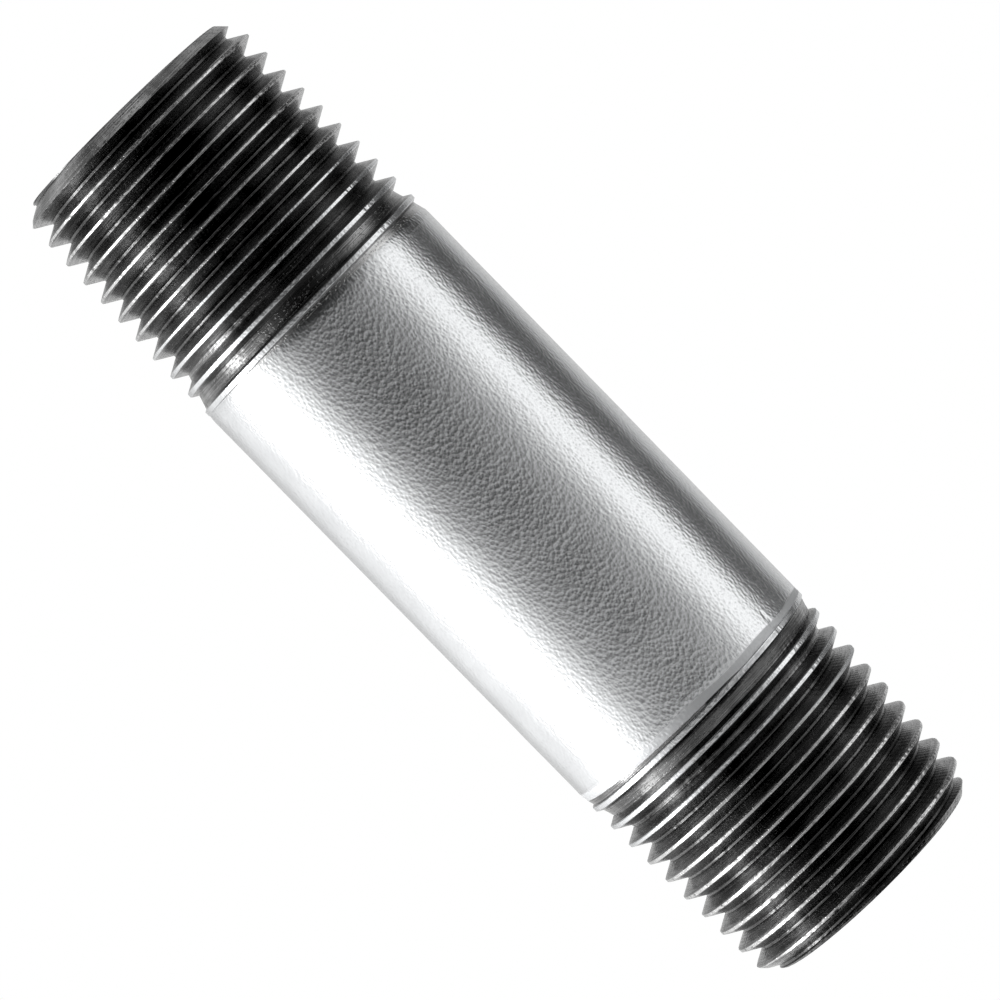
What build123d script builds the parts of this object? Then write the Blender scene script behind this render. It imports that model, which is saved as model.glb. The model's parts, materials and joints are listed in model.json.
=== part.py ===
from build123d import *
import os
from math import atan, cos, degrees, radians, sin, tan

# A short length of galvanised welded steel pipe with a taper pipe thread cut on each end:
# a 1/2 in by 3 in nipple. Millimetres, +Z along the pipe, the origin in the middle of the bore.
# The pieces are the rolled steel wall, the weld that closes it, and the zinc outside and inside.

# Pipe
nipple_length = 76.2
outside_diameter = 21.336
wall_thickness = 2.77
coat_thickness = 0.08
lining_thickness = 0.06

# Longitudinal weld, and the flat that its scarfing tool leaves along the outside
seam_angle = 78.0
scarf_width_angle = 13.0
weld_width_outside = 1.5
weld_width_middle = 0.7
weld_width_inside = 1.2

# Right-hand taper pipe thread, 14 threads to the inch, 60 degrees, cut on both ends.
# Distances along the pipe are counted inwards from the end face.
pitch = 25.4 / 14
flank_angle = 30.0
taper = 1 / 32
crest_radius_at_end = 10.25
root_radius_at_end = 9.0
root_flat = 0.178
thread_length = 18.55
run_out_slope = 0.30
lead_in_turns = 1.5
cutter_turns = 13
cutter_clearance = 0.11

# Where each thread starts round the pipe, and how much further in one die ran than the other
lower_thread_angle = -33.9
upper_thread_angle = -187.9
upper_thread_inset = 1.2

# End chamfers, and how near the end faces the zinc still covers the thread crests
end_face_radius = 9.05
bore_chamfer = 0.4
zinc_start = 12.6

# Derived sizes
half_length = nipple_length / 2
coat_radius = outside_diameter / 2
steel_radius = coat_radius - coat_thickness
bore_radius = coat_radius - wall_thickness
steel_bore_radius = bore_radius + lining_thickness
groove_depth = crest_radius_at_end - root_radius_at_end + cutter_clearance
end_margin = 1.0
beyond_pipe = coat_radius + end_margin
chamfer_length = (crest_radius_at_end - end_face_radius) / (1 - taper)
chamfer_radius = end_face_radius + chamfer_length
turned_length = (beyond_pipe - crest_radius_at_end) / taper
seam_direction = Vector(cos(radians(seam_angle)), sin(radians(seam_angle)), 0)


def scarfed_disc(radius):
    """A disc with one straight chord where the weld has been scarfed."""
    chord_distance = radius * cos(radians(scarf_width_angle / 2))
    with BuildSketch() as disc:
        Circle(radius)
        split(bisect_by=Plane(origin=seam_direction * chord_distance, z_dir=seam_direction), keep=Keep.BOTTOM)
    return disc.sketch


def weld_outline():
    """The weld's hourglass section, narrowest in the middle of the wall, running past both its faces."""
    inner = steel_bore_radius - end_margin
    outer = steel_radius + end_margin
    middle = (inner + outer) / 2
    with BuildSketch(Plane(origin=(0, 0, 0), x_dir=seam_direction, z_dir=(0, 0, 1))) as outline:
        with BuildLine():
            left = ThreePointArc(
                (inner, -weld_width_inside / 2),
                (middle, -weld_width_middle / 2),
                (outer, -weld_width_outside / 2),
            )
            right = ThreePointArc(
                (inner, weld_width_inside / 2),
                (middle, weld_width_middle / 2),
                (outer, weld_width_outside / 2),
            )
            Line(left @ 0, right @ 0)
            Line(left @ 1, right @ 1)
        make_face()
    return outline.sketch


def end_plane(inward, inset=0.0, angle=0.0):
    """The plane of one end: its z axis runs into the pipe, its x axis at that angle round the pipe."""
    return Plane(
        origin=(0, 0, inward * (inset - half_length)),
        x_dir=(cos(radians(angle)), sin(radians(angle)), 0),
        z_dir=(0, 0, inward),
    )


# The helical V groove that the die cuts. Its lead teeth are ground to a cone, so the floor of the
# last turns climbs that cone to the pipe's surface.
groove_start = -lead_in_turns * pitch
groove_start_radius = root_radius_at_end + taper * groove_start
cone_angle = atan(taper)
half_root = root_flat / 2
half_opening = half_root + groove_depth * tan(radians(flank_angle))
with BuildPart() as groove:
    with BuildLine():
        Helix(
            pitch / cos(cone_angle),
            cutter_turns * pitch,
            groove_start_radius,
            center=(0, 0, groove_start),
            cone_angle=degrees(cone_angle),
        )
    with BuildSketch(Plane(origin=(groove_start_radius, 0, groove_start), x_dir=(1, 0, 0), z_dir=(0, 1, 0))):
        Polygon(
            (0, -half_root),
            (groove_depth, -half_opening),
            (groove_depth, half_opening),
            (0, half_root),
            align=None,
        )
    sweep(is_frenet=True)
    with BuildSketch(Plane.XZ):
        Polygon(
            (0, thread_length - coat_radius / run_out_slope),
            (beyond_pipe, thread_length + end_margin / run_out_slope),
            (beyond_pipe, cutter_turns * pitch),
            (0, cutter_turns * pitch),
            align=None,
        )
    revolve(axis=Axis.Z, mode=Mode.SUBTRACT)

# What is turned off each end: the taper over the crests, the end chamfer and the bore's edge
with BuildPart() as turning:
    with BuildSketch(Plane.XZ):
        Polygon(
            (end_face_radius - end_margin, -end_margin),
            (chamfer_radius, chamfer_length),
            (beyond_pipe, turned_length),
            (beyond_pipe + end_margin, turned_length),
            (beyond_pipe + end_margin, -end_margin),
            align=None,
        )
        Polygon(
            (0, bore_chamfer + bore_radius),
            (bore_chamfer + bore_radius + end_margin, -end_margin),
            (0, -end_margin),
            align=None,
        )
    revolve(axis=Axis.Z)

thread_planes = [
    end_plane(1, angle=lower_thread_angle),
    end_plane(-1, inset=upper_thread_inset, angle=upper_thread_angle),
]


def finish_ends():
    """Threads and turns both ends of the piece being built."""
    for plane in thread_planes:
        with Locations(plane):
            add(groove.part, mode=Mode.SUBTRACT)
    for plane in (end_plane(1), end_plane(-1)):
        with Locations(plane):
            add(turning.part, mode=Mode.SUBTRACT)


# Steel strip rolled to a tube, open along the weld
with BuildPart() as pipe_wall:
    with BuildSketch(Plane.XY.offset(-half_length)):
        add(scarfed_disc(steel_radius))
        Circle(steel_bore_radius, mode=Mode.SUBTRACT)
        add(weld_outline(), mode=Mode.SUBTRACT)
    extrude(amount=nipple_length)
    finish_ends()
pipe_wall.part.label = "pipe_wall"

# Forge weld that closes the tube, cut with the same threads
with BuildPart() as weld_seam:
    with BuildSketch(Plane.XY.offset(-half_length)):
        add(scarfed_disc(steel_radius))
        Circle(steel_bore_radius, mode=Mode.SUBTRACT)
        add(weld_outline(), mode=Mode.INTERSECT)
    extrude(amount=nipple_length)
    finish_ends()
weld_seam.part.label = "weld_seam"

# Zinc on the barrel, running out along the lands between the last turns of each thread
with BuildPart() as zinc_coat:
    with BuildSketch(Plane.XY.offset(-half_length)):
        add(scarfed_disc(coat_radius))
        add(scarfed_disc(steel_radius), mode=Mode.SUBTRACT)
    extrude(amount=nipple_length)
    finish_ends()
    for plane in (end_plane(1, inset=zinc_start), end_plane(-1, inset=zinc_start)):
        split(bisect_by=plane, keep=Keep.TOP)
zinc_coat.part.label = "zinc_coat"

# Zinc inside the bore
with BuildPart() as zinc_lining:
    with BuildSketch(Plane.XY.offset(-half_length)):
        Circle(steel_bore_radius)
        Circle(bore_radius, mode=Mode.SUBTRACT)
    extrude(amount=nipple_length)
    with Locations(end_plane(1), end_plane(-1)):
        add(turning.part, mode=Mode.SUBTRACT)
zinc_lining.part.label = "zinc_lining"

os.makedirs("parts", exist_ok=True)
for piece in (pipe_wall, weld_seam, zinc_coat, zinc_lining):
    export_step(piece.part, f"parts/{piece.part.label}.step")
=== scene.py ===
"""A galvanised pipe nipple: welded steel pipe with a right-hand taper pipe thread die-cut on each end.

The threads are bare steel, the plain barrel between them keeps the zinc it was dipped in.
"""

import json
from math import cos, pi, radians, sin, tan

import bmesh
import bpy
import numpy as np
from mathutils import Matrix, Vector


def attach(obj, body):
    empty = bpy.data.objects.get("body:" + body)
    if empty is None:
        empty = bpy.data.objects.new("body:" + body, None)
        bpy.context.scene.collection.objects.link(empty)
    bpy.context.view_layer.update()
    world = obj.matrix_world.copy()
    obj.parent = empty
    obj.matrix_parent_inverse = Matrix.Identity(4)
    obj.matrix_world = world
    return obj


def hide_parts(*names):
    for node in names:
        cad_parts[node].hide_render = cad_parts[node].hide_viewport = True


bl_info = {
    "name": "Galvanised Pipe Nipple",
    "version": (1, 0, 0),
    "blender": (4, 5, 0),
    "location": "3D View > Sidebar > Nipple",
    "description": "Builds a galvanised pipe nipple with two die-cut taper pipe threads",
    "category": "Add Mesh",
}

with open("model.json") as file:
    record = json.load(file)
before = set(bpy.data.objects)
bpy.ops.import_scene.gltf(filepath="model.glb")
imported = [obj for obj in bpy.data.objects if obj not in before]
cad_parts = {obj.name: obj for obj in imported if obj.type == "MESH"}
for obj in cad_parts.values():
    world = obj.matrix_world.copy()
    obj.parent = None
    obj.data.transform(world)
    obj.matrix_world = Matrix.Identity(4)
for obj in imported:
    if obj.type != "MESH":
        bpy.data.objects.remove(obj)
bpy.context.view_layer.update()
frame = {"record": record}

MM = 0.001
MOUNTS = {mount["name"]: mount for mount in frame["record"]["mounts"]}
HALF_LENGTH = MOUNTS["upper_end_face"]["pos_m"][2]
COAT_RADIUS = MOUNTS["barrel"]["dims"]["r_mm"] * MM
BORE_RADIUS = MOUNTS["bore"]["dims"]["r_mm"] * MM

# The long weld, and the flat that its scarfing tool leaves along the outside
SEAM = radians(78.0)
SCARF_HALF_ANGLE = radians(6.5)
WELD_HALF_ANGLE = radians(2.6)
WELD_HALF_WIDTHS = (0.6 * MM, 0.35 * MM, 0.75 * MM)

# The thread's form, the same as in the die
CREST_RADIUS_AT_END = 10.25 * MM
ROOT_RADIUS_AT_END = 9.0 * MM
TAPER = 1 / 32
HALF_ROOT_FLAT = 0.089 * MM
FLANK = tan(radians(30.0))
LEAD_IN_TURNS = 1.5
FACE_RADIUS = 9.05 * MM
BORE_CHAMFER = 0.4 * MM
ZINC_START = 12.6 * MM

# Where the thread pieces meet the plain barrel, counted inwards from the end face
THREAD_PIECE_LENGTH = 20.4 * MM

# How finely the pieces are meshed
COLUMNS = 372
FLANK_ROWS = 4
WELD_COLUMNS = 9
BORE_COLUMNS = 240
BORE_ROWS = 260
BARREL_ROW_SPACING = 0.19 * MM
MERGE_DISTANCE = 0.0005 * MM
SAME_PLACE = 0.0002 * MM
SHARP_ANGLE = radians(48.0)

# Marks on the steel: their sizes, and the sides of the pipe where they are strongest
TOOL_LINE_SPACING = 0.11 * MM
TEAR_SIZE = 0.26 * MM
TEAR_PATCH_SIZE = 2.6 * MM
TORN_SIDE = radians(205.0)
CHATTER_SIDE = radians(-25.0)
WEAR_SIZE = 1.9 * MM
FINE_WEAR_SIZE = 0.42 * MM
FULL_CUT = 0.15 * MM
END_CALM = 0.3 * MM

# Marks of the die's four chasers across the last lands: a notch with a low lip on each side
CHASER_ANGLE = radians(45.0)
NOTCH_WIDTH = 0.1 * MM
LIP_DISTANCE = 0.22 * MM
LIP_WIDTH = 0.09 * MM
LIP_SHARE = 0.35
NOTCH_FADE = 1.2 * MM

# How the zinc ends at the threads: it can be cut down to a feather edge over the steel
NICK_FADE = 0.4 * MM
NICK_FADE_WIDTH = 0.3 * MM
PLAIN_FADE = 0.06 * MM
FEATHER_SLOPE = 1.6
TUCK = 0.01 * MM
FEATHER_DEPTH = 0.03 * MM
WAVE_SIZE = 4.2 * MM

# What the bore's zinc did on the way out: runs, and the weld's trimmed bead under them
BEAD_WIDTH = 0.45 * MM
BEAD_LUMP_SIZE = 1.1 * MM
RUN_SIZE = 1.4 * MM
RUN_DEPTH = 0.03 * MM
FINE_RUN_SIZE = 0.5 * MM
FINE_RUN_DEPTH = 0.012 * MM
LIP_CALM = 0.6 * MM
BORE_ROUGHNESS = 0.38
BORE_PEEL_DEPTH = 0.012 * MM
BORE_PEEL_SIZE = 0.5 * MM

# The random relief: the length of its table, its gain to about -1 to 1, and one seed for each use
TABLE = 512
GAIN = 1.7
SEEDS = {
    "tool lines": 11, "tear patches": 12, "tears": 13, "wear": 21, "fine wear": 22, "peel": 32, "waves": 33,
    "runs": 41, "fine runs": 42, "bead": 43,
}


class End:
    """One threaded end: which way is into the pipe, and where its thread starts round the pipe."""

    def __init__(self, name, inward, inset, start_degrees, scrape_share):
        self.name = name
        self.inward = inward
        self.inset = inset
        self.scrape_share = scrape_share
        self.start = radians(start_degrees)

    def turns(self, angles):
        """Turns of the thread from where the die started to these angles round the pipe."""
        return self.inward * (angles - self.start) / (2 * pi)

    def height(self, distances):
        """Height in the pipe's own frame of places that far in from the end face."""
        return self.inward * (distances - HALF_LENGTH)


LOWER = End("lower", 1, 0.0, -33.9, 1.0)
UPPER = End("upper", -1, 1.2 * MM, -187.9, 0.4)


# ---------------------------------------------------------------- shapes


def grain(points, size, seed):
    """Smooth random relief, about -1 to 1, with bumps about that size across."""
    rng = np.random.default_rng(seed)
    slopes = rng.normal(size=(TABLE, 3))
    slopes /= np.linalg.norm(slopes, axis=1)[:, None]
    order = rng.permutation(TABLE)
    scaled = points / size
    cell = np.floor(scaled).astype(int)
    inside = scaled - cell
    fade = inside**3 * (inside * (inside * 6 - 15) + 10)
    total = np.zeros(points.shape[:-1])
    for corner in np.ndindex(2, 2, 2):
        at = cell + corner
        index = order[at[..., 0] % TABLE]
        index = order[(index + at[..., 1]) % TABLE]
        index = order[(index + at[..., 2]) % TABLE]
        weight = np.prod(np.where(np.array(corner) == 1, fade, 1 - fade), axis=-1)
        total += weight * (slopes[index] * (inside - corner)).sum(axis=-1)
    return GAIN * total


def smooth_step(value, low, high):
    """0 below low, 1 above high, and an S curve between."""
    share = np.clip((value - low) / (high - low), 0, 1)
    return share * share * (3 - 2 * share)


def soft_min(a, b, rounding):
    """The lower of two heights, with the corner between them rounded off."""
    overlap = np.maximum(rounding - np.abs(a - b), 0)
    return np.minimum(a, b) - overlap**2 / (4 * rounding)


def soft_max(a, b, rounding):
    """The higher of two heights, with the corner between them filled."""
    return -soft_min(-a, -b, rounding)


def round_the_pipe(angles, radius, height):
    """Points from angle, radius and height."""
    angles, radius, height = np.broadcast_arrays(angles, radius, height)
    return np.stack([radius * np.cos(angles), radius * np.sin(angles), height], axis=-1)


def scarfed(radius, angles):
    """The pipe's surface radius, flattened along the weld."""
    off = (angles - SEAM + pi) % (2 * pi) - pi
    chord = radius * cos(SCARF_HALF_ANGLE) / np.cos(np.clip(off, -SCARF_HALF_ANGLE, SCARF_HALF_ANGLE))
    return np.where(np.abs(off) < SCARF_HALF_ANGLE, chord, radius)


def weld_edge_shift(angles, radius):
    """The weld is an hourglass in section, so its edges lean: how far to turn a point to follow them."""
    off = (angles - SEAM + pi) % (2 * pi) - pi
    inner, middle, outer = WELD_HALF_WIDTHS
    depth = np.clip((radius - BORE_RADIUS) / (COAT_RADIUS - BORE_RADIUS), 0, 1)
    inner_half = inner + (middle - inner) * 2 * depth
    outer_half = middle + (outer - middle) * (2 * depth - 1)
    width = np.where(depth < 0.5, inner_half, outer_half)
    lean = width / radius - WELD_HALF_ANGLE
    near = np.clip(1 - (np.abs(off) - WELD_HALF_ANGLE) / (3 * WELD_HALF_ANGLE), 0, 1)
    return np.where(np.abs(off) <= WELD_HALF_ANGLE, off / WELD_HALF_ANGLE, np.sign(off) * near) * lean


def flank_reach(height, root, slope):
    """How far from a groove's centre its flank meets a line of that height there and that slope."""
    return (height - root + HALF_ROOT_FLAT / FLANK) / (1 / FLANK - slope)


def thread_rows(end, angles, radius, threads, flank_rows, extra_radius=None):
    """Distances from the end face, rows by angles, that follow the thread's crests, flanks and roots."""
    pitch, rounding = threads.pitch, 0.5 * threads.edge_rounding
    turns = end.turns(angles)
    start = end.inset - LEAD_IN_TURNS * pitch
    first = int(np.floor(0.5 - start / pitch - turns.max()))
    last = int(np.ceil((THREAD_PIECE_LENGTH - start) / pitch - 0.5 - turns.min()))
    surface = scarfed(radius, angles)
    rows = []
    for turn in range(first, last + 1):
        centre = start + pitch * (turn + turns)
        root = ROOT_RADIUS_AT_END + TAPER * (centre - end.inset)
        floor_height = COAT_RADIUS - threads.run_out_slope * (threads.length - (centre - end.inset))
        rows.append(centre - pitch / 2)
        for side in (-1, 1):
            edge = flank_reach(CREST_RADIUS_AT_END + TAPER * centre, root, side * TAPER)
            edge = np.minimum(edge, flank_reach(surface, root, 0))
            edge = np.minimum(edge, flank_reach(FACE_RADIUS + centre, root, side))
            edge = np.clip(edge, rounding, pitch / 2 - 2 * rounding)
            floor = flank_reach(floor_height, root, side * threads.run_out_slope)
            floor = np.clip(floor, HALF_ROOT_FLAT, edge - rounding)
            rows.append(centre + side * (pitch / 2 + edge + rounding) / 2)
            rows += [centre + side * reach for reach in (edge + rounding, edge, edge - rounding)]
            for step in range(1, flank_rows + 1):
                share = step / (flank_rows + 1)
                rows.append(centre + side * ((edge - rounding) * (1 - share) + (floor + rounding) * share))
            rows += [centre + side * reach for reach in (floor + rounding, floor, floor / 2)]
            if extra_radius is not None:
                extra = flank_reach(scarfed(extra_radius, angles), root, 0)
                rows.append(centre + side * np.clip(extra, floor, edge))
        rows.append(centre)
    return np.clip(np.sort(np.array(rows), axis=0), 0, THREAD_PIECE_LENGTH)


def groove_radius(end, angles, distances, threads):
    """The radius that the die leaves, with no limit outside: the V groove and the run-out's floor."""
    pitch = threads.pitch
    start = end.inset - LEAD_IN_TURNS * pitch
    turns = end.turns(angles)
    nearest = np.round((distances - start) / pitch - turns)
    centre = start + pitch * (nearest + turns)
    root = ROOT_RADIUS_AT_END + TAPER * (centre - end.inset)
    flank = root + np.maximum(0, np.abs(distances - centre) - HALF_ROOT_FLAT) / FLANK
    beyond = distances - end.inset - threads.length
    scrape = end.scrape_share * threads.scrape_slope * (beyond - threads.scrape_length)
    floor = COAT_RADIUS + np.minimum(threads.run_out_slope * beyond, scrape)
    return soft_max(flank, floor, threads.edge_rounding), distances - centre


def crest_radius(distances):
    """The taper turned over the crests, with the end chamfer."""
    return np.minimum(CREST_RADIUS_AT_END + TAPER * distances, FACE_RADIUS + distances)


def thread_relief(end, angles, distances, radius, offset, threads):
    """What die and chips leave on the steel: tool lines along the thread, tears, and chatter."""
    along = end.height(distances) - threads.pitch * ((angles - SEAM) % (2 * pi)) / (2 * pi)
    points = round_the_pipe(angles, radius, along)
    lines = grain(points * (0.02, 0.02, 1.0), TOOL_LINE_SPACING, SEEDS["tool lines"])
    patches = grain(points, TEAR_PATCH_SIZE, SEEDS["tear patches"])
    tears = grain(points * (0.55, 0.55, 1.0), TEAR_SIZE, SEEDS["tears"])
    torn = smooth_step(tears + 0.35 * patches, 0.25, 0.8)
    side = np.sign(offset) * smooth_step(np.abs(offset), HALF_ROOT_FLAT, 2 * HALF_ROOT_FLAT)
    torn_side = smooth_step(np.cos(angles - TORN_SIDE), 0.2, 0.8)
    chatter = np.sin(angles * COAT_RADIUS * 2 * pi / threads.chatter_spacing) * (side < 0)
    chatter *= smooth_step(np.cos(angles - CHATTER_SIDE), 0.7, 0.95)
    relief = threads.tool_line_depth * lines
    relief -= threads.tear_depth * torn * (0.35 + 0.65 * torn_side)
    if end is LOWER:
        relief += threads.chatter_depth * chatter
    return relief


def chaser_nicks(angles, distances, threads):
    """Small steps across the last lands where each of the die's four chasers stopped."""
    off = (angles - CHASER_ANGLE + pi / 4) % (pi / 2) - pi / 4
    arc = off * COAT_RADIUS
    notch = np.exp(-((arc / NOTCH_WIDTH) ** 2))
    lip = np.exp(-(((np.abs(arc) - LIP_DISTANCE) / LIP_WIDTH) ** 2))
    reach = smooth_step(distances, 0.55 * threads.length, 0.85 * threads.length)
    reach *= smooth_step(THREAD_PIECE_LENGTH - distances, 0, NOTCH_FADE)
    return reach * threads.nick_depth * (LIP_SHARE * lip - notch)


def steel_surface(end, angles, threads, zinc):
    """Distances and radii of one thread's steel surface, rows by angles."""
    steel_radius = COAT_RADIUS - zinc.coat_thickness
    distances = thread_rows(end, angles, steel_radius, threads, FLANK_ROWS)
    groove, offset = groove_radius(end, angles, distances, threads)
    points = round_the_pipe(angles, steel_radius, end.height(distances))
    wear = 0.5 + 0.3 * grain(points * (1, 1, 0.6), WEAR_SIZE, SEEDS["wear"])
    wear += 0.35 * grain(points, FINE_WEAR_SIZE, SEEDS["fine wear"])
    crest = crest_radius(distances) - threads.crest_wear * np.clip(wear, 0, 1)
    crest += np.minimum(chaser_nicks(angles, distances, threads), 0)
    envelope = np.minimum(crest, scarfed(steel_radius, angles))
    radius = soft_min(envelope, groove, threads.edge_rounding)
    cut = smooth_step(steel_radius - radius, 0.0, FULL_CUT)
    inside = smooth_step(distances, 0.0, END_CALM) * cut
    radius = radius + inside * thread_relief(end, angles, distances, radius, offset, threads)
    return distances, radius


# ---------------------------------------------------------------- meshes


def closed_grid(points, wrap):
    """Faces over a grid of points: each column is a closed loop, and the columns wrap or are capped."""
    loop, columns = points.shape[:2]
    index = np.arange(loop * columns).reshape(loop, columns)
    below = np.roll(index, -1, axis=0)
    if wrap:
        beside, beside_below = np.roll(index, -1, axis=1), np.roll(below, -1, axis=1)
        quads = np.stack([index, below, beside_below, beside], axis=-1).reshape(-1, 4)
        return quads.tolist()
    quads = np.stack([index[:, :-1], below[:, :-1], below[:, 1:], index[:, 1:]], axis=-1).reshape(-1, 4)
    return quads.tolist() + [index[:, 0].tolist(), index[::-1, -1].tolist()]


def skin(outer, inner, kept):
    """Points and faces of a closed skin between two grids, only where kept says so for each square."""
    rows, columns = outer.shape[:2]
    index = np.arange(rows * columns).reshape(rows, columns)
    quads = np.stack([index[:-1, :-1], index[1:, :-1], index[1:, 1:], index[:-1, 1:]], axis=-1)
    quads = quads[kept]
    # points at the same place count as one, so the skin closes over the weld without a wall inside it
    _, same = np.unique(np.round(outer.reshape(-1, 3) / SAME_PLACE), axis=0, return_inverse=True)
    same = same.reshape(-1)
    corners = np.sort(same[quads], axis=1)
    quads = quads[(np.diff(corners, axis=1) != 0).sum(axis=1) > 1]
    under = quads[:, ::-1] + rows * columns
    edges = np.concatenate([quads[:, [side, (side + 1) % 4]] for side in range(4)])
    edges = edges[same[edges[:, 0]] != same[edges[:, 1]]]
    ends = np.sort(same[edges], axis=1)
    _, where, counts = np.unique(ends, axis=0, return_index=True, return_counts=True)
    rim = edges[where[counts == 1]]
    rim_under = rim + rows * columns
    walls = np.stack([rim[:, 1], rim[:, 0], rim_under[:, 0], rim_under[:, 1]], axis=-1)
    points = np.concatenate([outer.reshape(-1, 3), inner.reshape(-1, 3)])
    return points, np.concatenate([quads, under, walls]).tolist()


def make_piece(name, points, faces, finish, stands_for):
    """A named mesh piece that rides on the part and stands for its CAD node."""
    mesh = bpy.data.meshes.new(name)
    mesh.from_pydata(points.reshape(-1, 3).tolist(), [], faces)
    build = bmesh.new()
    build.from_mesh(mesh)
    bmesh.ops.remove_doubles(build, verts=build.verts, dist=MERGE_DISTANCE)
    loose = [vert for vert in build.verts if not vert.link_faces]
    bmesh.ops.delete(build, geom=loose, context="VERTS")
    bmesh.ops.recalc_face_normals(build, faces=build.faces)
    build.to_mesh(mesh)
    build.free()
    mesh.shade_smooth()
    mesh.set_sharp_from_angle(angle=SHARP_ANGLE)
    mesh.materials.append(finish)
    piece = bpy.data.objects.new(name, mesh)
    bpy.context.scene.collection.objects.link(piece)
    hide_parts(stands_for)
    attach(piece, "root")


def wall_angles():
    """Columns round the rolled wall, from one edge of the weld to the other."""
    return np.linspace(SEAM + WELD_HALF_ANGLE, SEAM + 2 * pi - WELD_HALF_ANGLE, COLUMNS)


def inner_profile(end, angles, zinc, bore):
    """Distances and radii from the thread piece's inner end back along the bore to the end face."""
    steel_bore = BORE_RADIUS + bore.lining_thickness
    mouth = BORE_RADIUS + BORE_CHAMFER
    steps = [(THREAD_PIECE_LENGTH, steel_bore), (mouth - steel_bore, steel_bore), (0.0, mouth)]
    steps += [(0.0, mouth + (FACE_RADIUS - mouth) * share) for share in (0.25, 0.5, 0.75)]
    distances = np.array([[step[0]] for step in steps]) + 0 * angles
    radius = np.array([[step[1]] for step in steps]) + 0 * angles
    return distances, radius


# ---------------------------------------------------------------- finishes


def linear(hex_colour):
    """An sRGB hex colour as linear RGBA."""
    channels = [int(hex_colour[place : place + 2], 16) / 255 for place in (1, 3, 5)]
    return [c / 12.92 if c <= 0.04045 else ((c + 0.055) / 1.055) ** 2.4 for c in channels] + [1.0]


def add_node(tree, kind, inputs=None, **settings):
    """Adds a node, sets it up, and links or fills its sockets. A node as a value means its first output."""
    node = tree.nodes.new(kind)
    for name, value in settings.items():
        setattr(node, name, value)
    for socket, value in (inputs or {}).items():
        if isinstance(value, bpy.types.Node):
            value = value.outputs[0]
        if isinstance(value, bpy.types.NodeSocket):
            tree.links.new(value, node.inputs[socket])
        else:
            node.inputs[socket].default_value = value
    return node


def new_finish(name):
    """An empty material with its shader, ready for nodes."""
    finish = bpy.data.materials.new(name)
    finish.use_nodes = True
    tree = finish.node_tree
    tree.nodes.clear()
    shader = add_node(tree, "ShaderNodeBsdfPrincipled")
    add_node(tree, "ShaderNodeOutputMaterial", {"Surface": shader.outputs["BSDF"]})
    return finish, tree, shader


# Die-cut steel: its tool lines are drawn 0.07 mm apart, which is coarser than the die's, so that they show
LINE_LENGTH = 5 * MM
LINE_SPACING = 0.07 * MM
LINE_RADIAL_SIZE = 0.4 * MM
LINE_DEPTH = 0.018 * MM
PIT_SIZE = 0.16 * MM
PIT_DEPTH = 0.015 * MM
STAIN_SIZE = 3.0 * MM
# painted shade in the thread roots: how far above the root it is full, and where it ends
ROOT_SHADE_FROM = 0.02 * MM
ROOT_SHADE_TO = 0.12 * MM
RUBBED_FROM = 0.09 * MM
RUBBED_TO = 0.035 * MM
BURNISHED_FROM = 18.8 * MM
BURNISHED_TO = 19.0 * MM
RUBBED_STEEL = linear("#d2d2d2")

# Hot-dip zinc: its tone changes in clouds, and a dull band is rubbed next to the lower thread
DRAINED = (1, 1, 0.75)
CLOUD_SIZE = 4.0 * MM
RAGGED_SIZE = 5.0 * MM
RAGGED_WIDTH = 0.5 * MM
BAND_TO = 18.74 * MM
BAND_FROM = 18.62 * MM
BAND_DEPTH = 0.014 * MM
BAND_EDGE_DEPTH = 0.006 * MM
BAND_TONE = 1.0
BAND_ROUGHNESS = 0.56


def helical_place(tree, threads):
    """Where a point is along the helix, across the turns and out from the axis. It breaks at the weld."""
    place = add_node(tree, "ShaderNodeTexCoord").outputs["Object"]
    turned = add_node(
        tree, "ShaderNodeVectorRotate", {"Vector": place, "Angle": pi - SEAM}, rotation_type="Z_AXIS"
    )
    split = add_node(tree, "ShaderNodeSeparateXYZ", {"Vector": turned})
    angle = add_node(
        tree, "ShaderNodeMath", {0: split.outputs["Y"], 1: split.outputs["X"]}, operation="ARCTAN2"
    )
    arc = add_node(tree, "ShaderNodeMath", {0: angle, 1: COAT_RADIUS}, operation="MULTIPLY")
    climb = add_node(
        tree, "ShaderNodeMath",
        {0: angle, 1: -threads.pitch / (2 * pi), 2: split.outputs["Z"]}, operation="MULTIPLY_ADD",
    )
    flat = add_node(tree, "ShaderNodeVectorMath", {0: place, 1: (1, 1, 0)}, operation="MULTIPLY")
    radius = add_node(tree, "ShaderNodeVectorMath", {0: flat}, operation="LENGTH")
    joined = add_node(tree, "ShaderNodeCombineXYZ", {"X": arc, "Y": climb, "Z": radius.outputs["Value"]})
    return place, joined.outputs["Vector"]


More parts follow.
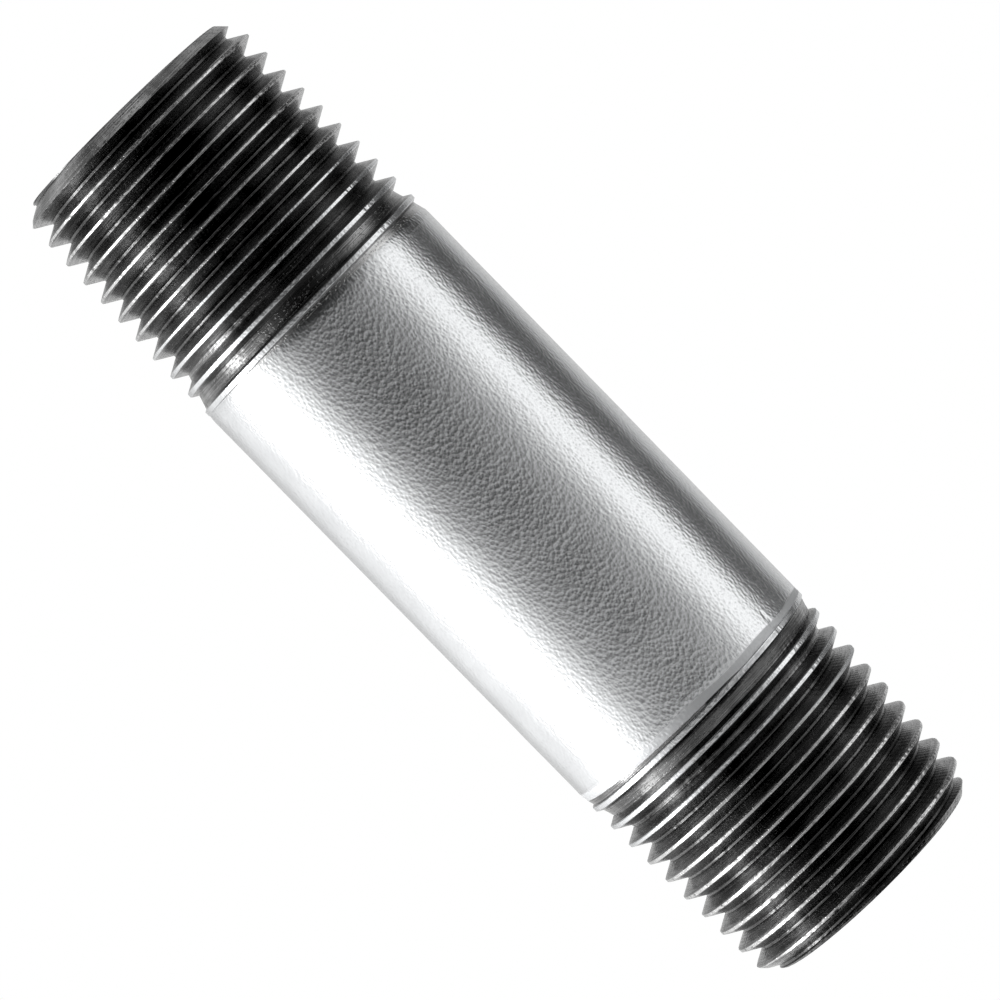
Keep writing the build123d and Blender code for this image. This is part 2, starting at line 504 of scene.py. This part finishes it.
def cut_steel(name, colour, roughness, threads):
    """Die-cut low-carbon steel: dark and oily, with painted shade darkening the thread roots, and fine
    bright lines along the thread.
    """
    finish, tree, shader = new_finish(name)
    place, helix = helical_place(tree, threads)
    stretched = add_node(
        tree, "ShaderNodeVectorMath",
        {0: helix, 1: (1 / LINE_LENGTH, 1 / LINE_SPACING, 1 / LINE_RADIAL_SIZE)}, operation="MULTIPLY",
    )
    lines = add_node(tree, "ShaderNodeTexNoise", {"Vector": stretched, "Scale": 1.0, "Detail": 2.0})
    pits = add_node(tree, "ShaderNodeTexNoise", {"Vector": place, "Scale": 1 / PIT_SIZE, "Detail": 2.0})
    bump_lines = add_node(tree, "ShaderNodeBump", {"Height": lines, "Distance": LINE_DEPTH, "Strength": 1.0})
    deep = add_node(tree, "ShaderNodeMapRange", {"Value": pits, "From Min": 0.3, "From Max": 0.42})
    bump_pits = add_node(
        tree, "ShaderNodeBump",
        {"Height": deep, "Distance": PIT_DEPTH, "Strength": 1.0,
         "Normal": bump_lines},
    )
    stain = add_node(tree, "ShaderNodeTexNoise", {"Vector": place, "Scale": 1 / STAIN_SIZE, "Detail": 3.0})
    streaks = add_node(tree, "ShaderNodeMath", {0: stain, 1: lines}, operation="ADD")
    tone = add_node(
        tree, "ShaderNodeMapRange",
        {"Value": streaks, "From Min": 0.75, "From Max": 1.25, "To Min": 0.5, "To Max": 1.25},
    )
    # how far out a place is, with the taper taken out
    split = add_node(tree, "ShaderNodeSeparateXYZ", {"Vector": helix})
    level = add_node(tree, "ShaderNodeSeparateXYZ", {"Vector": place})
    up = add_node(tree, "ShaderNodeMath", {0: level.outputs["Z"]}, operation="ABSOLUTE")
    cone = add_node(
        tree, "ShaderNodeMath", {0: up, 1: TAPER, 2: split.outputs["Z"]},
        operation="MULTIPLY_ADD",
    )
    crest_cone = CREST_RADIUS_AT_END + TAPER * HALF_LENGTH
    root_cone = ROOT_RADIUS_AT_END + TAPER * HALF_LENGTH
    # painted shade: the steel's colour is darkened to half towards the thread roots
    root_shade = add_node(
        tree, "ShaderNodeMapRange",
        {"Value": cone, "From Min": root_cone + ROOT_SHADE_FROM, "From Max": root_cone + ROOT_SHADE_TO,
         "To Min": 0.5, "To Max": 1.0},
    )
    dimmed = add_node(tree, "ShaderNodeMath", {0: tone, 1: root_shade}, operation="MULTIPLY")
    steel = add_node(tree, "ShaderNodeVectorMath", {0: colour[:3], "Scale": dimmed}, operation="SCALE")
    # the crests are rubbed bright
    rubbed = add_node(
        tree, "ShaderNodeMapRange",
        {"Value": cone, "From Min": crest_cone - RUBBED_FROM, "From Max": crest_cone - RUBBED_TO},
        interpolation_type="SMOOTHSTEP",
    )
    # the steel next to the zinc is burnished by the die's last teeth
    burnished = add_node(
        tree, "ShaderNodeMapRange",
        {"Value": up, "From Min": HALF_LENGTH - BURNISHED_TO,
         "From Max": HALF_LENGTH - BURNISHED_FROM, "To Min": 1.0, "To Max": 0.0},
    )
    bright = add_node(tree, "ShaderNodeMath", {0: rubbed, 1: burnished}, operation="MAXIMUM")
    blend = add_node(tree, "ShaderNodeMix", {0: bright, 6: steel, 7: RUBBED_STEEL}, data_type="RGBA")
    rough = add_node(
        tree, "ShaderNodeMapRange",
        {"Value": pits, "From Min": 0.3, "From Max": 0.7,
         "To Min": roughness - 0.06, "To Max": roughness + 0.08},
    )
    tree.links.new(blend.outputs[2], shader.inputs["Base Color"])
    tree.links.new(rough.outputs["Result"], shader.inputs["Roughness"])
    tree.links.new(bump_pits.outputs["Normal"], shader.inputs["Normal"])
    shader.inputs["Metallic"].default_value = 1.0
    return finish


def dipped_zinc(name, colour, roughness, peel_depth, peel_size, threads=None):
    """Hot-dip zinc: a bright grey metal skin with the fine orange peel of the drained coat."""
    finish, tree, shader = new_finish(name)
    place = add_node(tree, "ShaderNodeTexCoord").outputs["Object"]
    # the bumps are drawn out a little along the pipe, the way the zinc drained
    drained = add_node(
        tree, "ShaderNodeVectorMath", {0: place, 1: DRAINED}, operation="MULTIPLY"
    ).outputs["Vector"]
    peel = add_node(
        tree, "ShaderNodeTexNoise",
        {"Vector": drained, "Scale": 1 / peel_size, "Detail": 3.0, "Roughness": 0.65},
    )
    pits = add_node(
        tree, "ShaderNodeTexVoronoi",
        {"Vector": drained, "Scale": 1 / (1.8 * peel_size), "Smoothness": 0.3}, feature="SMOOTH_F1",
    )
    fine_bump = add_node(tree, "ShaderNodeBump", {"Height": peel, "Distance": peel_depth, "Strength": 1.0})
    bump = add_node(
        tree, "ShaderNodeBump",
        {"Height": pits, "Distance": 1.6 * peel_depth, "Strength": 1.0,
         "Normal": fine_bump},
    )
    cloud = add_node(tree, "ShaderNodeTexNoise", {"Vector": place, "Scale": 1 / CLOUD_SIZE, "Detail": 6.0})
    tone = add_node(
        tree, "ShaderNodeMapRange",
        {"Value": cloud, "From Min": 0.3, "From Max": 0.7, "To Min": 0.93, "To Max": 1.0},
    )
    rough = add_node(
        tree, "ShaderNodeMapRange",
        {"Value": cloud, "From Min": 0.3, "From Max": 0.7,
         "To Min": roughness - 0.03, "To Max": roughness + 0.03},
    )
    # painted shade: the zinc's colour is darkened down to 0.88 in the hollows of the dimples
    dimple_shade = add_node(
        tree, "ShaderNodeMapRange",
        {"Value": pits, "From Min": 0.05, "From Max": 0.3,
         "To Min": 0.88, "To Max": 1.0},
    )
    tone_and_dimple_shade = add_node(tree, "ShaderNodeMath", {0: tone, 1: dimple_shade}, operation="MULTIPLY")
    bright, dulled = tone_and_dimple_shade, rough
    if threads:
        # the die's last teeth rubbed a dull band: below the coat's surface, next to the thread
        split = add_node(tree, "ShaderNodeSeparateXYZ", {"Vector": place})
        up = add_node(tree, "ShaderNodeMath", {0: split.outputs["Z"]}, operation="ABSOLUTE")
        ragged = add_node(
            tree, "ShaderNodeTexNoise", {"Vector": place, "Scale": 1 / RAGGED_SIZE, "Detail": 0.0}
        )
        edge = add_node(
            tree, "ShaderNodeMath", {0: ragged, 1: RAGGED_WIDTH, 2: up},
            operation="MULTIPLY_ADD",
        )
        near = add_node(
            tree, "ShaderNodeMapRange",
            {"Value": edge, "From Min": HALF_LENGTH - BAND_TO,
             "From Max": HALF_LENGTH - BAND_FROM},
        )
        _, helix = helical_place(tree, threads)
        turned = add_node(tree, "ShaderNodeSeparateXYZ", {"Vector": helix})
        low = add_node(
            tree, "ShaderNodeMapRange",
            {"Value": turned.outputs["Z"], "From Min": COAT_RADIUS - BAND_DEPTH,
             "From Max": COAT_RADIUS - BAND_EDGE_DEPTH, "To Min": 1.0, "To Max": 0.0},
        )
        arc = add_node(tree, "ShaderNodeMath", {0: turned.outputs["X"]}, operation="ABSOLUTE")
        beside_weld = add_node(
            tree, "ShaderNodeMapRange",
            {"Value": arc, "From Min": (pi - 1.15 * SCARF_HALF_ANGLE) * COAT_RADIUS,
             "From Max": (pi - SCARF_HALF_ANGLE) * COAT_RADIUS, "To Min": 1.0, "To Max": 0.0},
        )
        rubbed = near
        for limit in (low, beside_weld):
            rubbed = add_node(tree, "ShaderNodeMath", {0: rubbed, 1: limit}, operation="MULTIPLY")
        bright = add_node(tree, "ShaderNodeMix", {0: rubbed, 2: bright, 3: BAND_TONE}, data_type="FLOAT")
        dulled = add_node(
            tree, "ShaderNodeMix", {0: rubbed, 2: dulled, 3: BAND_ROUGHNESS}, data_type="FLOAT"
        )
    skin_colour = add_node(tree, "ShaderNodeVectorMath", {0: colour[:3], "Scale": bright}, operation="SCALE")
    tree.links.new(skin_colour.outputs["Vector"], shader.inputs["Base Color"])
    tree.links.new(dulled.outputs[0], shader.inputs["Roughness"])
    tree.links.new(bump.outputs["Normal"], shader.inputs["Normal"])
    shader.inputs["Metallic"].default_value = 1.0
    return finish


# ---------------------------------------------------------------- settings


def length_setting(name, description, default):
    """A setting that holds a length in metres."""
    return bpy.props.FloatProperty(
        name=name, description=description, default=default, unit="LENGTH", precision=6,
    )


def colour_setting(name, description, hex_colour):
    """A setting that holds a colour."""
    return bpy.props.FloatVectorProperty(
        name=name, description=description, default=linear(hex_colour),
        subtype="COLOR", size=4, min=0, max=1,
    )


class NippleThreads(bpy.types.PropertyGroup):
    """Sizes and finish of the two steel threads."""

    pitch: length_setting(
        "Pitch", "Distance from one crest to the next: 14 threads to the inch", 25.4 / 14 * MM
    )
    length: length_setting(
        "Thread length", "From the end face to where the run-out leaves the surface", 18.55 * MM
    )
    run_out_slope: bpy.props.FloatProperty(
        name="Run-out slope", description="How steeply the last turns' floor climbs to the surface",
        default=0.30,
    )
    scrape_length: length_setting(
        "Scrape length", "How far past the thread the die's last teeth rub the zinc", 0.5 * MM
    )
    scrape_slope: bpy.props.FloatProperty(
        name="Scrape slope", description="How steeply the rubbed band climbs to the surface", default=0.1,
    )
    edge_rounding: length_setting(
        "Edge rounding", "How far crest edges and root corners are rounded", 0.035 * MM
    )
    crest_wear: length_setting("Crest wear", "How unevenly the crests are knocked down", 0.08 * MM)
    tool_line_depth: length_setting(
        "Tool line depth", "Lines that the die leaves along the flanks", 0.008 * MM
    )
    tear_depth: length_setting("Tear depth", "Depth of the torn spots on the flanks", 0.045 * MM)
    chatter_depth: length_setting("Chatter depth", "Ripples across one side's flanks", 0.02 * MM)
    nick_depth: length_setting("Nick depth", "Marks where the die's chasers stopped", 0.06 * MM)
    chatter_spacing: length_setting("Chatter spacing", "Distance between chatter ripples", 0.62 * MM)
    colour: colour_setting("Steel", "Freshly cut steel under cutting oil", "#a1a1a1")
    weld_colour: colour_setting("Weld", "The weld's slightly lighter steel", "#a9a7a3")
    roughness: bpy.props.FloatProperty(
        name="Roughness", description="Of the cut steel", default=0.16, min=0, max=1,
    )


class NippleZinc(bpy.types.PropertyGroup):
    """Sizes and finish of the zinc outside."""

    coat_thickness: length_setting("Coat thickness", "Zinc on the outside of the pipe", 0.08 * MM)
    peel_size: length_setting("Peel size", "Size of the orange-peel bumps", 0.135 * MM)
    peel_depth: length_setting("Peel depth", "Height of the orange-peel bumps", 0.012 * MM)
    swell_depth: length_setting("Swell depth", "Height of the coat's slow waves", 0.012 * MM)
    colour: colour_setting("Zinc", "Bright zinc", "#e0e1e2")
    roughness: bpy.props.FloatProperty(
        name="Roughness", description="Of the zinc", default=0.19, min=0, max=1,
    )


class NippleBore(bpy.types.PropertyGroup):
    """Sizes and finish of the zinc inside the bore."""

    lining_thickness: length_setting("Lining thickness", "Zinc inside the bore", 0.06 * MM)
    bead_height: length_setting("Weld bead height", "What is left of the trimmed weld inside", 0.12 * MM)
    colour: colour_setting("Bore zinc", "Duller zinc in the bore", "#b4b6b8")


class NippleStage(bpy.types.PropertyGroup):
    """Camera, light and floor."""

    camera_distance: length_setting("Camera distance", "From the pipe's axis", 0.42)
    camera_roll: bpy.props.FloatProperty(
        name="Camera roll", description="How far the pipe leans in the picture", default=radians(44.36),
        subtype="ANGLE",
    )
    camera_rise: bpy.props.FloatProperty(
        name="Camera rise", description="How far the camera looks down on the pipe", default=radians(2.3),
        subtype="ANGLE",
    )
    field_width: length_setting("Field width", "Width of the view at the pipe's axis", 71.28 * MM)
    floor_colour: colour_setting("Floor", "Plain pale floor and backdrop", "#ffffff")


# ---------------------------------------------------------------- pieces


def zinc_relief(points, zinc):
    """The coat's relief: orange peel over slow waves. The material's bump holds the finer peel."""
    peel = grain(points, 3.5 * zinc.peel_size, SEEDS["peel"])
    waves = grain(points, WAVE_SIZE, SEEDS["waves"])
    return 0.25 * zinc.peel_depth * peel + zinc.swell_depth * waves - 0.5 * zinc.swell_depth


class NIPPLE_OT_cut_threads(bpy.types.Operator):
    """Cut the steel threads on both ends of the rolled wall"""

    bl_idname = "nipple.cut_threads"
    bl_label = "Cut threads"

    def execute(self, context):
        scene = context.scene
        threads, zinc, bore = scene.nipple_threads, scene.nipple_zinc, scene.nipple_bore
        finish = cut_steel("die_cut_steel", threads.colour, threads.roughness, threads)
        angles = wall_angles()
        for end in (LOWER, UPPER):
            distances, radius = steel_surface(end, angles, threads, zinc)
            inner_distances, inner_radius = inner_profile(end, angles, zinc, bore)
            distances = np.concatenate([distances, inner_distances])
            radius = np.concatenate([radius, inner_radius])
            turned = angles + weld_edge_shift(angles, radius)
            points = round_the_pipe(turned, radius, end.height(distances))
            faces = closed_grid(points, wrap=False)
            make_piece(f"{end.name}_thread", points, faces, finish, "pipe_wall")
        return {"FINISHED"}


class NIPPLE_OT_roll_wall(bpy.types.Operator):
    """Roll the plain steel wall between the threads, which the zinc hides"""

    bl_idname = "nipple.roll_wall"
    bl_label = "Roll wall"

    def execute(self, context):
        scene = context.scene
        threads, zinc, bore = scene.nipple_threads, scene.nipple_zinc, scene.nipple_bore
        steel_radius = COAT_RADIUS - zinc.coat_thickness
        steel_bore = BORE_RADIUS + bore.lining_thickness
        reach = HALF_LENGTH - THREAD_PIECE_LENGTH
        angles = wall_angles()
        outside = scarfed(steel_radius, angles)
        middle = 0 * angles + (steel_radius + steel_bore) / 2
        inside = 0 * angles + steel_bore
        radius = np.array([outside, outside, outside, middle, inside, inside, inside, middle])
        height = np.array([[-reach], [0], [reach], [reach], [reach], [0], [-reach], [-reach]])
        points = round_the_pipe(angles + weld_edge_shift(angles, radius), radius, height)
        finish = cut_steel("rolled_steel", threads.colour, threads.roughness, threads)
        faces = closed_grid(points, wrap=False)
        make_piece("barrel_wall", points, faces, finish, "pipe_wall")
        return {"FINISHED"}


class NIPPLE_OT_weld_seam(bpy.types.Operator):
    """Close the wall with its long weld, cut with the same threads"""

    bl_idname = "nipple.weld_seam"
    bl_label = "Weld seam"

    def execute(self, context):
        scene = context.scene
        threads, zinc, bore = scene.nipple_threads, scene.nipple_zinc, scene.nipple_bore
        angles = np.linspace(SEAM - WELD_HALF_ANGLE, SEAM + WELD_HALF_ANGLE, WELD_COLUMNS)
        height, radius = [], []
        for end in (LOWER, UPPER):
            out_distances, out_radius = steel_surface(end, angles + 2 * pi, threads, zinc)
            in_distances, in_radius = inner_profile(end, angles, zinc, bore)
            order = slice(None, None, end.inward)
            height.append([end.height(out_distances)[order], end.height(in_distances)[order]])
            radius.append([out_radius[order], in_radius[order]])
        height = np.concatenate([height[0][0], height[1][0], height[1][1], height[0][1]])
        radius = np.concatenate([radius[0][0], radius[1][0], radius[1][1], radius[0][1]])
        points = round_the_pipe(angles + weld_edge_shift(angles, radius), radius, height)
        finish = cut_steel("forge_welded_steel", threads.weld_colour, threads.roughness, threads)
        faces = closed_grid(points, wrap=False)
        make_piece("weld_seam_steel", points, faces, finish, "weld_seam")
        return {"FINISHED"}


class NIPPLE_OT_coat_barrel(bpy.types.Operator):
    """Coat the plain barrel with zinc"""

    bl_idname = "nipple.coat_barrel"
    bl_label = "Coat barrel"

    def execute(self, context):
        zinc = context.scene.nipple_zinc
        reach = HALF_LENGTH - THREAD_PIECE_LENGTH
        angles = SEAM + np.arange(COLUMNS) * 2 * pi / COLUMNS
        rows = int(2 * reach / BARREL_ROW_SPACING)
        height = np.linspace(-reach, reach, rows)[:, None]
        surface = scarfed(COAT_RADIUS, angles) + 0 * height
        surface += zinc_relief(round_the_pipe(angles, surface, height), zinc)
        under = scarfed(COAT_RADIUS - zinc.coat_thickness, angles) + np.zeros((2, 1))
        radius = np.concatenate([surface, under])
        height = np.concatenate([height, [[reach], [-reach]]])
        points = round_the_pipe(angles, radius, height)
        finish = dipped_zinc("hot_dip_zinc", zinc.colour, zinc.roughness, zinc.peel_depth, zinc.peel_size)
        faces = closed_grid(points, wrap=True)
        make_piece("barrel_zinc", points, faces, finish, "zinc_coat")
        return {"FINISHED"}


class NIPPLE_OT_coat_lands(bpy.types.Operator):
    """Leave the zinc that runs out along the lands between each thread's last turns"""

    bl_idname = "nipple.coat_lands"
    bl_label = "Coat lands"

    def execute(self, context):
        scene = context.scene
        threads, zinc = scene.nipple_threads, scene.nipple_zinc
        steel_radius = COAT_RADIUS - zinc.coat_thickness
        angles = SEAM + np.arange(COLUMNS + 1) * 2 * pi / COLUMNS
        for end in (LOWER, UPPER):
            finish = dipped_zinc(
                f"{end.name}_land_zinc", zinc.colour, zinc.roughness, zinc.peel_depth, zinc.peel_size,
                threads if end is LOWER else None,
            )
            distances = thread_rows(end, angles, COAT_RADIUS, threads, 1, steel_radius)
            distances = np.maximum(distances, ZINC_START)
            groove, _ = groove_radius(end, angles, distances, threads)
            coat, steel = scarfed(COAT_RADIUS, angles), scarfed(steel_radius, angles)
            envelope = np.minimum(crest_radius(distances), coat)
            nicked = smooth_step(coat + NICK_FADE - groove, 0, NICK_FADE_WIDTH)
            envelope += chaser_nicks(angles, distances, threads) * nicked
            radius = soft_min(envelope, groove, 0.4 * threads.edge_rounding)
            plain = smooth_step(groove - coat, 0.0, PLAIN_FADE)
            relief = zinc_relief(round_the_pipe(angles, radius, end.height(distances)), zinc)
            radius = radius + plain * relief
            radius = np.where(radius < steel, steel + FEATHER_SLOPE * (radius - steel), radius)
            inner = np.minimum(radius, steel) - TUCK
            corners = [radius[:-1, :-1], radius[1:, :-1], radius[1:, 1:], radius[:-1, 1:]]
            kept = np.maximum.reduce(corners) > (steel - FEATHER_DEPTH)[:-1]
            outer_points = round_the_pipe(angles, radius, end.height(distances))
            inner_points = round_the_pipe(angles, inner, end.height(distances))
            points, faces = skin(outer_points, inner_points, kept)
            make_piece(f"{end.name}_zinc_lands", points, faces, finish, "zinc_coat")
        return {"FINISHED"}


class NIPPLE_OT_line_bore(bpy.types.Operator):
    """Line the bore with zinc over the trimmed inside of the weld"""

    bl_idname = "nipple.line_bore"
    bl_label = "Line bore"

    def execute(self, context):
        bore = context.scene.nipple_bore
        reach = HALF_LENGTH - BORE_CHAMFER
        angles = SEAM + np.arange(BORE_COLUMNS) * 2 * pi / BORE_COLUMNS
        height = np.linspace(-reach, reach, BORE_ROWS)[:, None]
        off = ((angles - SEAM + pi) % (2 * pi) - pi) * BORE_RADIUS
        points = round_the_pipe(angles, BORE_RADIUS, height)
        runs = RUN_DEPTH * grain(points * (1, 1, 0.25), RUN_SIZE, SEEDS["runs"])
        runs += FINE_RUN_DEPTH * grain(points, FINE_RUN_SIZE, SEEDS["fine runs"])
        lumps = 0.8 + 0.4 * grain(points, BEAD_LUMP_SIZE, SEEDS["bead"])
        bead = bore.bead_height * np.exp(-((off / BEAD_WIDTH) ** 2)) * lumps
        settled = smooth_step(reach - np.abs(height), 0, LIP_CALM)
        surface = BORE_RADIUS - settled * (bead + np.maximum(runs, 0))
        steel_bore = BORE_RADIUS + bore.lining_thickness
        lip = reach + bore.lining_thickness
        radius = np.concatenate([surface, np.full((2, BORE_COLUMNS), steel_bore)])
        height = np.concatenate([height, [[lip], [-lip]]])
        points = round_the_pipe(angles, radius, height)
        finish = dipped_zinc("drained_zinc", bore.colour, BORE_ROUGHNESS, BORE_PEEL_DEPTH, BORE_PEEL_SIZE)
        faces = closed_grid(points, wrap=True)
        make_piece("bore_lining", points, faces, finish, "zinc_lining")
        return {"FINISHED"}


# How bright the studio is all round the part at its level, in degrees from the camera's side towards +X:
# a strong key box on the left, a wide soft box on the right, and dim grey between
STUDIO_LEVELS = (
    (-180, 0.0), (-150, 0.07), (-138, 0.7), (-125, 1.0), (-112, 1.12), (-100, 1.4), (-92, 5.0), (-80, 5.0),
    (-72, 1.6), (-64, 1.28), (-56, 1.06), (-47, 0.74), (-39, 0.42), (-30, 0.22), (-15, 0.08), (0, 0.05),
    (20, 0.07), (39, 0.25), (47, 0.42), (56, 0.66), (64, 0.93), (72, 1.14), (84, 1.22), (92, 0.7),
    (100, 0.14), (120, 0.02), (135, 0.14), (150, 0.07), (180, 0.0),
)
BRIGHTEST = 5.0
# The studio's soft edges: which of a direction's measures each goes by, from where to where it changes, and
# its level on either side. "height" is -1 straight down to 1 straight up, "level" the same without its sign,
# and "off_camera" the angle round from the camera's side.
SOFT_EDGES = {
    "box height": ("level", sin(radians(18)), sin(radians(42)), BRIGHTEST, 0.5 * BRIGHTEST),
    "box foot": ("height", sin(radians(-25)), sin(radians(-10)), 0.55, 1.0),
    "dark above": ("level", sin(radians(45)), sin(radians(66)), 1.0, 0.0),
    "backdrop": ("off_camera", radians(120), radians(155), 0.0, 0.6),
    "table": ("height", -0.3, 0.12, 0.42, 0.0),
    "table sides": ("off_camera", radians(20), radians(60), 1.0, 0.0),
    "table depth": ("level", 0.3, 0.6, 1.0, 0.1),
    "ring height": ("height", sin(radians(32)), sin(radians(52)), 0.0, 0.55),
    "ring sides": ("off_camera", radians(80), radians(112), 0.0, 1.0),
    "underneath": ("height", sin(radians(-80)), sin(radians(-68)), 0.16, 0.0),
    "overhead": ("height", sin(radians(70)), sin(radians(80)), 0.0, 0.7),
}
AMBIENT = 0.16
AMBIENT_EDGE = 0.25

# The stage, in metres apart from the sensor, which is in millimetres
VIEW_GAMMA = 0.74
BLACK_LEVEL = (0.012, 0.012, 0.012)
FLOOR_REACH = 2.0
FLOOR_GAP = 0.02 * MM
SENSOR_WIDTH = 36.0
CLIP_START = 0.01
CAMERA_RIGHT = 0.07 * MM
CAMERA_DOWN = 0.12 * MM


def light_world(scene):
    """A studio of tall soft boxes for the metal to reflect, with a white backdrop behind the part."""
    world = bpy.data.worlds.new("soft_box_studio")
    world.use_nodes = True
    scene.world = world
    tree = world.node_tree
    tree.nodes.clear()
    direction = add_node(tree, "ShaderNodeTexCoord").outputs["Generated"]
    split = add_node(tree, "ShaderNodeSeparateXYZ", {"Vector": direction})
    towards_camera = add_node(tree, "ShaderNodeMath", {0: split.outputs["Y"], 1: -1.0}, operation="MULTIPLY")
    azimuth = add_node(
        tree, "ShaderNodeMath", {0: split.outputs["X"], 1: towards_camera}, operation="ARCTAN2"
    )
    measures = {
        "height": split.outputs["Z"],
        "level": add_node(tree, "ShaderNodeMath", {0: split.outputs["Z"]}, operation="ABSOLUTE"),
        "off_camera": add_node(tree, "ShaderNodeMath", {0: azimuth}, operation="ABSOLUTE"),
    }
    edges = {}
    for name, (measure, low, high, below, above) in SOFT_EDGES.items():
        edges[name] = add_node(
            tree, "ShaderNodeMapRange",
            {"Value": measures[measure], "From Min": low, "From Max": high,
             "To Min": below, "To Max": above},
            interpolation_type="SMOOTHSTEP",
        )

    share = add_node(tree, "ShaderNodeMapRange", {"Value": azimuth, "From Min": -pi, "From Max": pi})
    ramp = add_node(tree, "ShaderNodeValToRGB", {"Fac": share})
    stops = ramp.color_ramp.elements
    while len(stops) < len(STUDIO_LEVELS):
        stops.new(0.5)
    for place, (degrees_round, strength) in enumerate(STUDIO_LEVELS):
        stops[place].position = (degrees_round + 180) / 360
        grey = strength / BRIGHTEST
        stops[place].color = (grey, grey, grey, 1.0)
    ambient = add_node(
        tree, "ShaderNodeMapRange",
        {"Value": split.outputs["Z"], "From Min": -AMBIENT_EDGE, "From Max": AMBIENT_EDGE,
         "To Min": 1.8 * AMBIENT, "To Max": 0.25 * AMBIENT},
    )
    lights = (
        (ramp, edges["box height"], edges["dark above"], edges["box foot"]),
        (edges["backdrop"], edges["dark above"]),
        (ambient, edges["dark above"]),
        (edges["table"], edges["table sides"], edges["table depth"]),
        (edges["ring height"], edges["ring sides"]),
        (edges["underneath"],),
        (edges["overhead"],),
    )
    lit = 0.0
    for light, *limits in lights:
        for limit in limits:
            light = add_node(tree, "ShaderNodeMath", {0: light, 1: limit}, operation="MULTIPLY")
        lit = add_node(tree, "ShaderNodeMath", {0: lit, 1: light}, operation="ADD")
    studio = add_node(tree, "ShaderNodeBackground", {"Color": (1, 1, 1, 1), "Strength": lit})
    backdrop = add_node(
        tree, "ShaderNodeBackground", {"Color": scene.nipple_stage.floor_colour, "Strength": 1.0}
    )
    path = add_node(tree, "ShaderNodeLightPath")
    seen = add_node(tree, "ShaderNodeMixShader", {0: path.outputs["Is Camera Ray"], 1: studio, 2: backdrop})
    add_node(tree, "ShaderNodeOutputWorld", {"Surface": seen})


class NIPPLE_OT_set_stage(bpy.types.Operator):
    """Set the floor, the soft studio light and the camera"""

    bl_idname = "nipple.set_stage"
    bl_label = "Set stage"

    def execute(self, context):
        scene = context.scene
        stage = scene.nipple_stage
        scene.view_settings.view_transform = "Standard"
        scene.view_settings.gamma = VIEW_GAMMA
        scene.view_settings.use_curve_mapping = True
        scene.view_settings.curve_mapping.black_level = BLACK_LEVEL
        scene.view_settings.curve_mapping.update()
        light_world(scene)

        mesh = bpy.data.meshes.new("floor")
        corners = [Vector((x, y, 0)) * FLOOR_REACH for x, y in ((-1, -1), (1, -1), (1, 1), (-1, 1))]
        under = Vector((0, 0, HALF_LENGTH + FLOOR_GAP))
        mesh.from_pydata([corner - under for corner in corners], [], [(0, 1, 2, 3)])
        finish = bpy.data.materials.new("matt_white_paper")
        finish.use_nodes = True
        tree = finish.node_tree
        tree.nodes.clear()
        paper = add_node(tree, "ShaderNodeEmission", {"Color": stage.floor_colour, "Strength": 1.0})
        add_node(tree, "ShaderNodeOutputMaterial", {"Surface": paper})
        mesh.materials.append(finish)
        floor = bpy.data.objects.new("floor", mesh)
        scene.collection.objects.link(floor)
        floor.visible_diffuse = False
        floor.visible_glossy = False
        floor.visible_shadow = False

        data = bpy.data.cameras.new("camera")
        data.sensor_width = SENSOR_WIDTH
        data.lens = data.sensor_width * stage.camera_distance / stage.field_width
        data.clip_start = CLIP_START
        camera = bpy.data.objects.new("camera", data)
        roll, rise = stage.camera_roll, stage.camera_rise
        across = Vector((1, 0, 0))
        along = Vector((0, sin(rise), cos(rise)))
        back = Vector((0, -cos(rise), sin(rise)))
        right = cos(roll) * across - sin(roll) * along
        up = sin(roll) * across + cos(roll) * along
        place = back * stage.camera_distance + CAMERA_RIGHT * right - CAMERA_DOWN * up
        turn = Matrix((right, up, back)).transposed().to_4x4()
        camera.matrix_world = Matrix.Translation(place) @ turn
        scene.collection.objects.link(camera)
        scene.camera = camera
        return {"FINISHED"}


class NIPPLE_PT_pieces(bpy.types.Panel):
    """Lists the nipple's pieces and its settings"""

    bl_idname = "NIPPLE_PT_pieces"
    bl_label = "Pipe Nipple"
    bl_space_type = "VIEW_3D"
    bl_region_type = "UI"
    bl_category = "Nipple"

    def draw(self, context):
        for operator in OPERATORS:
            self.layout.operator(operator.bl_idname)
        for name, group in GROUPS.items():
            box = self.layout.box()
            for setting in group.__annotations__:
                box.prop(getattr(context.scene, name), setting)


GROUPS = {
    "nipple_threads": NippleThreads,
    "nipple_zinc": NippleZinc,
    "nipple_bore": NippleBore,
    "nipple_stage": NippleStage,
}
OPERATORS = (
    NIPPLE_OT_set_stage,
    NIPPLE_OT_cut_threads,
    NIPPLE_OT_roll_wall,
    NIPPLE_OT_weld_seam,
    NIPPLE_OT_coat_barrel,
    NIPPLE_OT_coat_lands,
    NIPPLE_OT_line_bore,
)


def register():
    for group in GROUPS.values():
        bpy.utils.register_class(group)
    for operator in OPERATORS:
        bpy.utils.register_class(operator)
    bpy.utils.register_class(NIPPLE_PT_pieces)
    for name, group in GROUPS.items():
        setattr(bpy.types.Scene, name, bpy.props.PointerProperty(type=group))


def unregister():
    for name in GROUPS:
        delattr(bpy.types.Scene, name)
    bpy.utils.unregister_class(NIPPLE_PT_pieces)
    for operator in reversed(OPERATORS):
        bpy.utils.unregister_class(operator)
    for group in GROUPS.values():
        bpy.utils.unregister_class(group)


def main():
    register()
    bpy.ops.nipple.set_stage()
    bpy.ops.nipple.cut_threads()
    bpy.ops.nipple.roll_wall()
    bpy.ops.nipple.weld_seam()
    bpy.ops.nipple.coat_barrel()
    bpy.ops.nipple.coat_lands()
    bpy.ops.nipple.line_bore()


if __name__ == "__main__":
    main()
